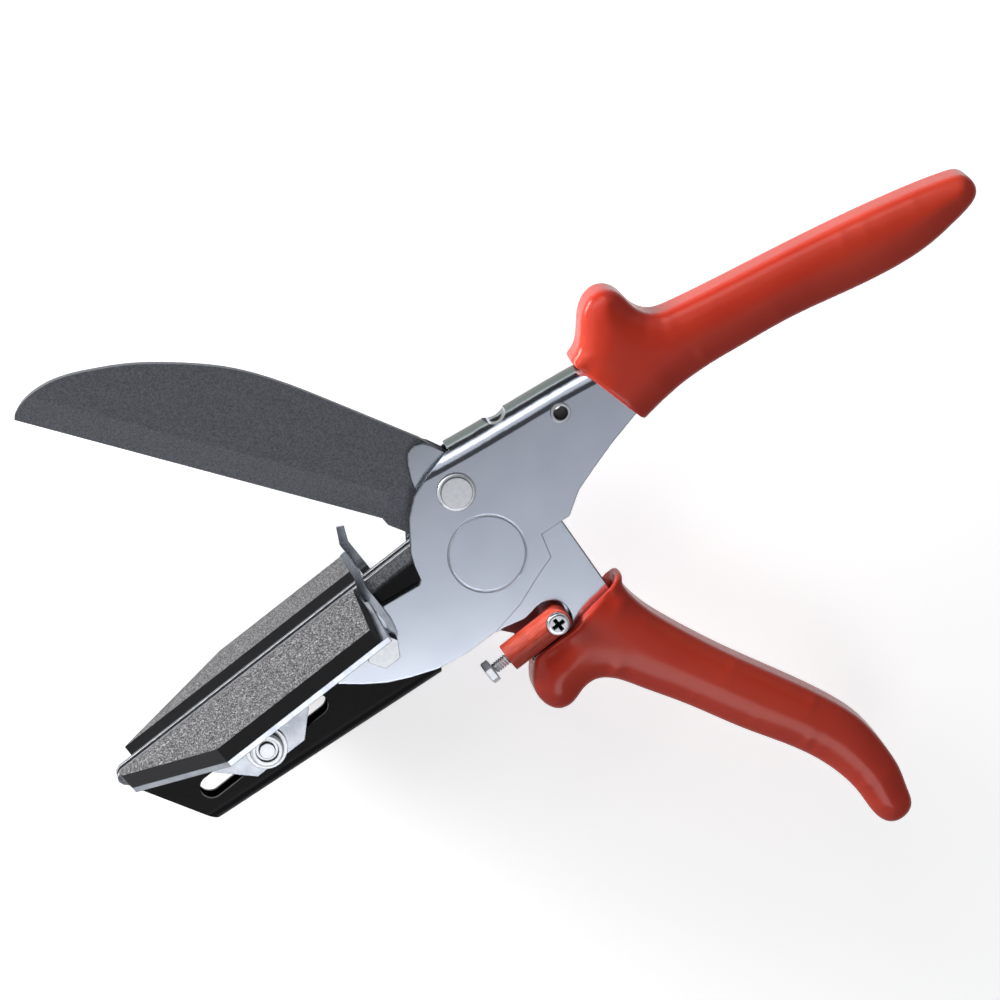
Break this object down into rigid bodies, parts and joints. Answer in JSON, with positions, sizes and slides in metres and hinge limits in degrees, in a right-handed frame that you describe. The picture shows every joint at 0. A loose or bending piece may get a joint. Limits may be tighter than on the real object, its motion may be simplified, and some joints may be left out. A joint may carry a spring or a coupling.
{
  "type": "cable duct shears",
  "caption": "Two-handled shears for plastic cable duct: a curved blade closes into a slot between two counter-blades, beside padded tables that carry the duct.",
  "frame": {"origin": "middle of the whole tool's box seen from above, on its lowest face", "axes": "the tool lies on its side: +X runs from the tip of the cutting slot to the upper handle, +Y points towards the open blade, +Z is the thickness and points to the side with the round hinge head"},
  "size_m": [0.2608, 0.226, 0.073],
  "materials": {
    "plates": "bright nickel-plated sheet, cool grey",
    "grips": "glossy red-orange dipped sleeve",
    "blade": "dark blued steel with a fine grain",
    "counter_blades": "dark ground steel with bright edges",
    "holder": "satin black paint",
    "tables": "bright zinc-plated sheet",
    "pads": "charcoal pad with a light gritty top",
    "fasteners": "bright zinc-plated",
    "spring_wire": "plain spring wire",
    "catch": "red-orange moulded bar"
  },
  "bodies": {
    "frame": {"main_frame": "plates", "upper_grip": "grips", "pivot_bolt": "fasteners", "pivot_nut": "fasteners", "pivot_washers": "fasteners", "spring_pin": "fasteners", "torsion_spring": "spring_wire", "anvil_holder": "holder", "front_counter_blade": "counter_blades", "rear_counter_blade": "counter_blades", "counter_blade_rivets": "fasteners", "stop_bolt": "fasteners", "stop_nut": "fasteners", "stop_spacer": "fasteners"},
    "lever": {"lower_handle": "plates", "lower_grip": "grips", "blade": "blade", "blade_rivets": "fasteners", "latch_screw": "fasteners", "latch_nut": "fasteners"},
    "catch": {"latch_block": "catch", "latch_insert": "fasteners"},
    "adjusting_bolt": {"latch_bolt": "fasteners"},
    "tables": {"front_table": "tables", "rear_table": "tables", "front_pad": "pads", "rear_pad": "pads", "table_bolt": "fasteners", "table_nut": "fasteners", "table_washers": "fasteners", "table_spacer": "fasteners"},
    "stops": {"front_stop": "tables", "rear_stop": "tables"}
  },
  "joints": [
    {"name": "blade_pivot", "type": "hinge", "parent": "frame", "child": "lever", "pos_m": [-0.01865, 0.02777, 0.03649], "axis": [0, 0, 1], "range_deg": [0, 50], "stiffness_Nm_per_rad": 1, "springref_deg": -8.59, "deforming": ["torsion_spring"]},
    {"name": "catch_swing", "type": "hinge", "parent": "lever", "child": "catch", "pos_m": [-0.01925, -0.01453, 0.04199], "axis": [0, 0, -1], "range_deg": [0, 10]},
    {"name": "bolt_adjust", "type": "slide", "parent": "catch", "child": "adjusting_bolt", "axis": [-1, 0, 0], "range_m": [-0.003, 0.002]},
    {"name": "table_slide", "type": "slide", "parent": "frame", "child": "tables", "axis": [-1, 0, 0], "range_m": [0, 0.0165]},
    {"name": "stop_swivel", "type": "hinge", "parent": "frame", "child": "stops", "pos_m": [-0.05754, 0.00808, 0.03649], "axis": [0, 0, -1], "range_deg": [0, 30]}
  ]
}
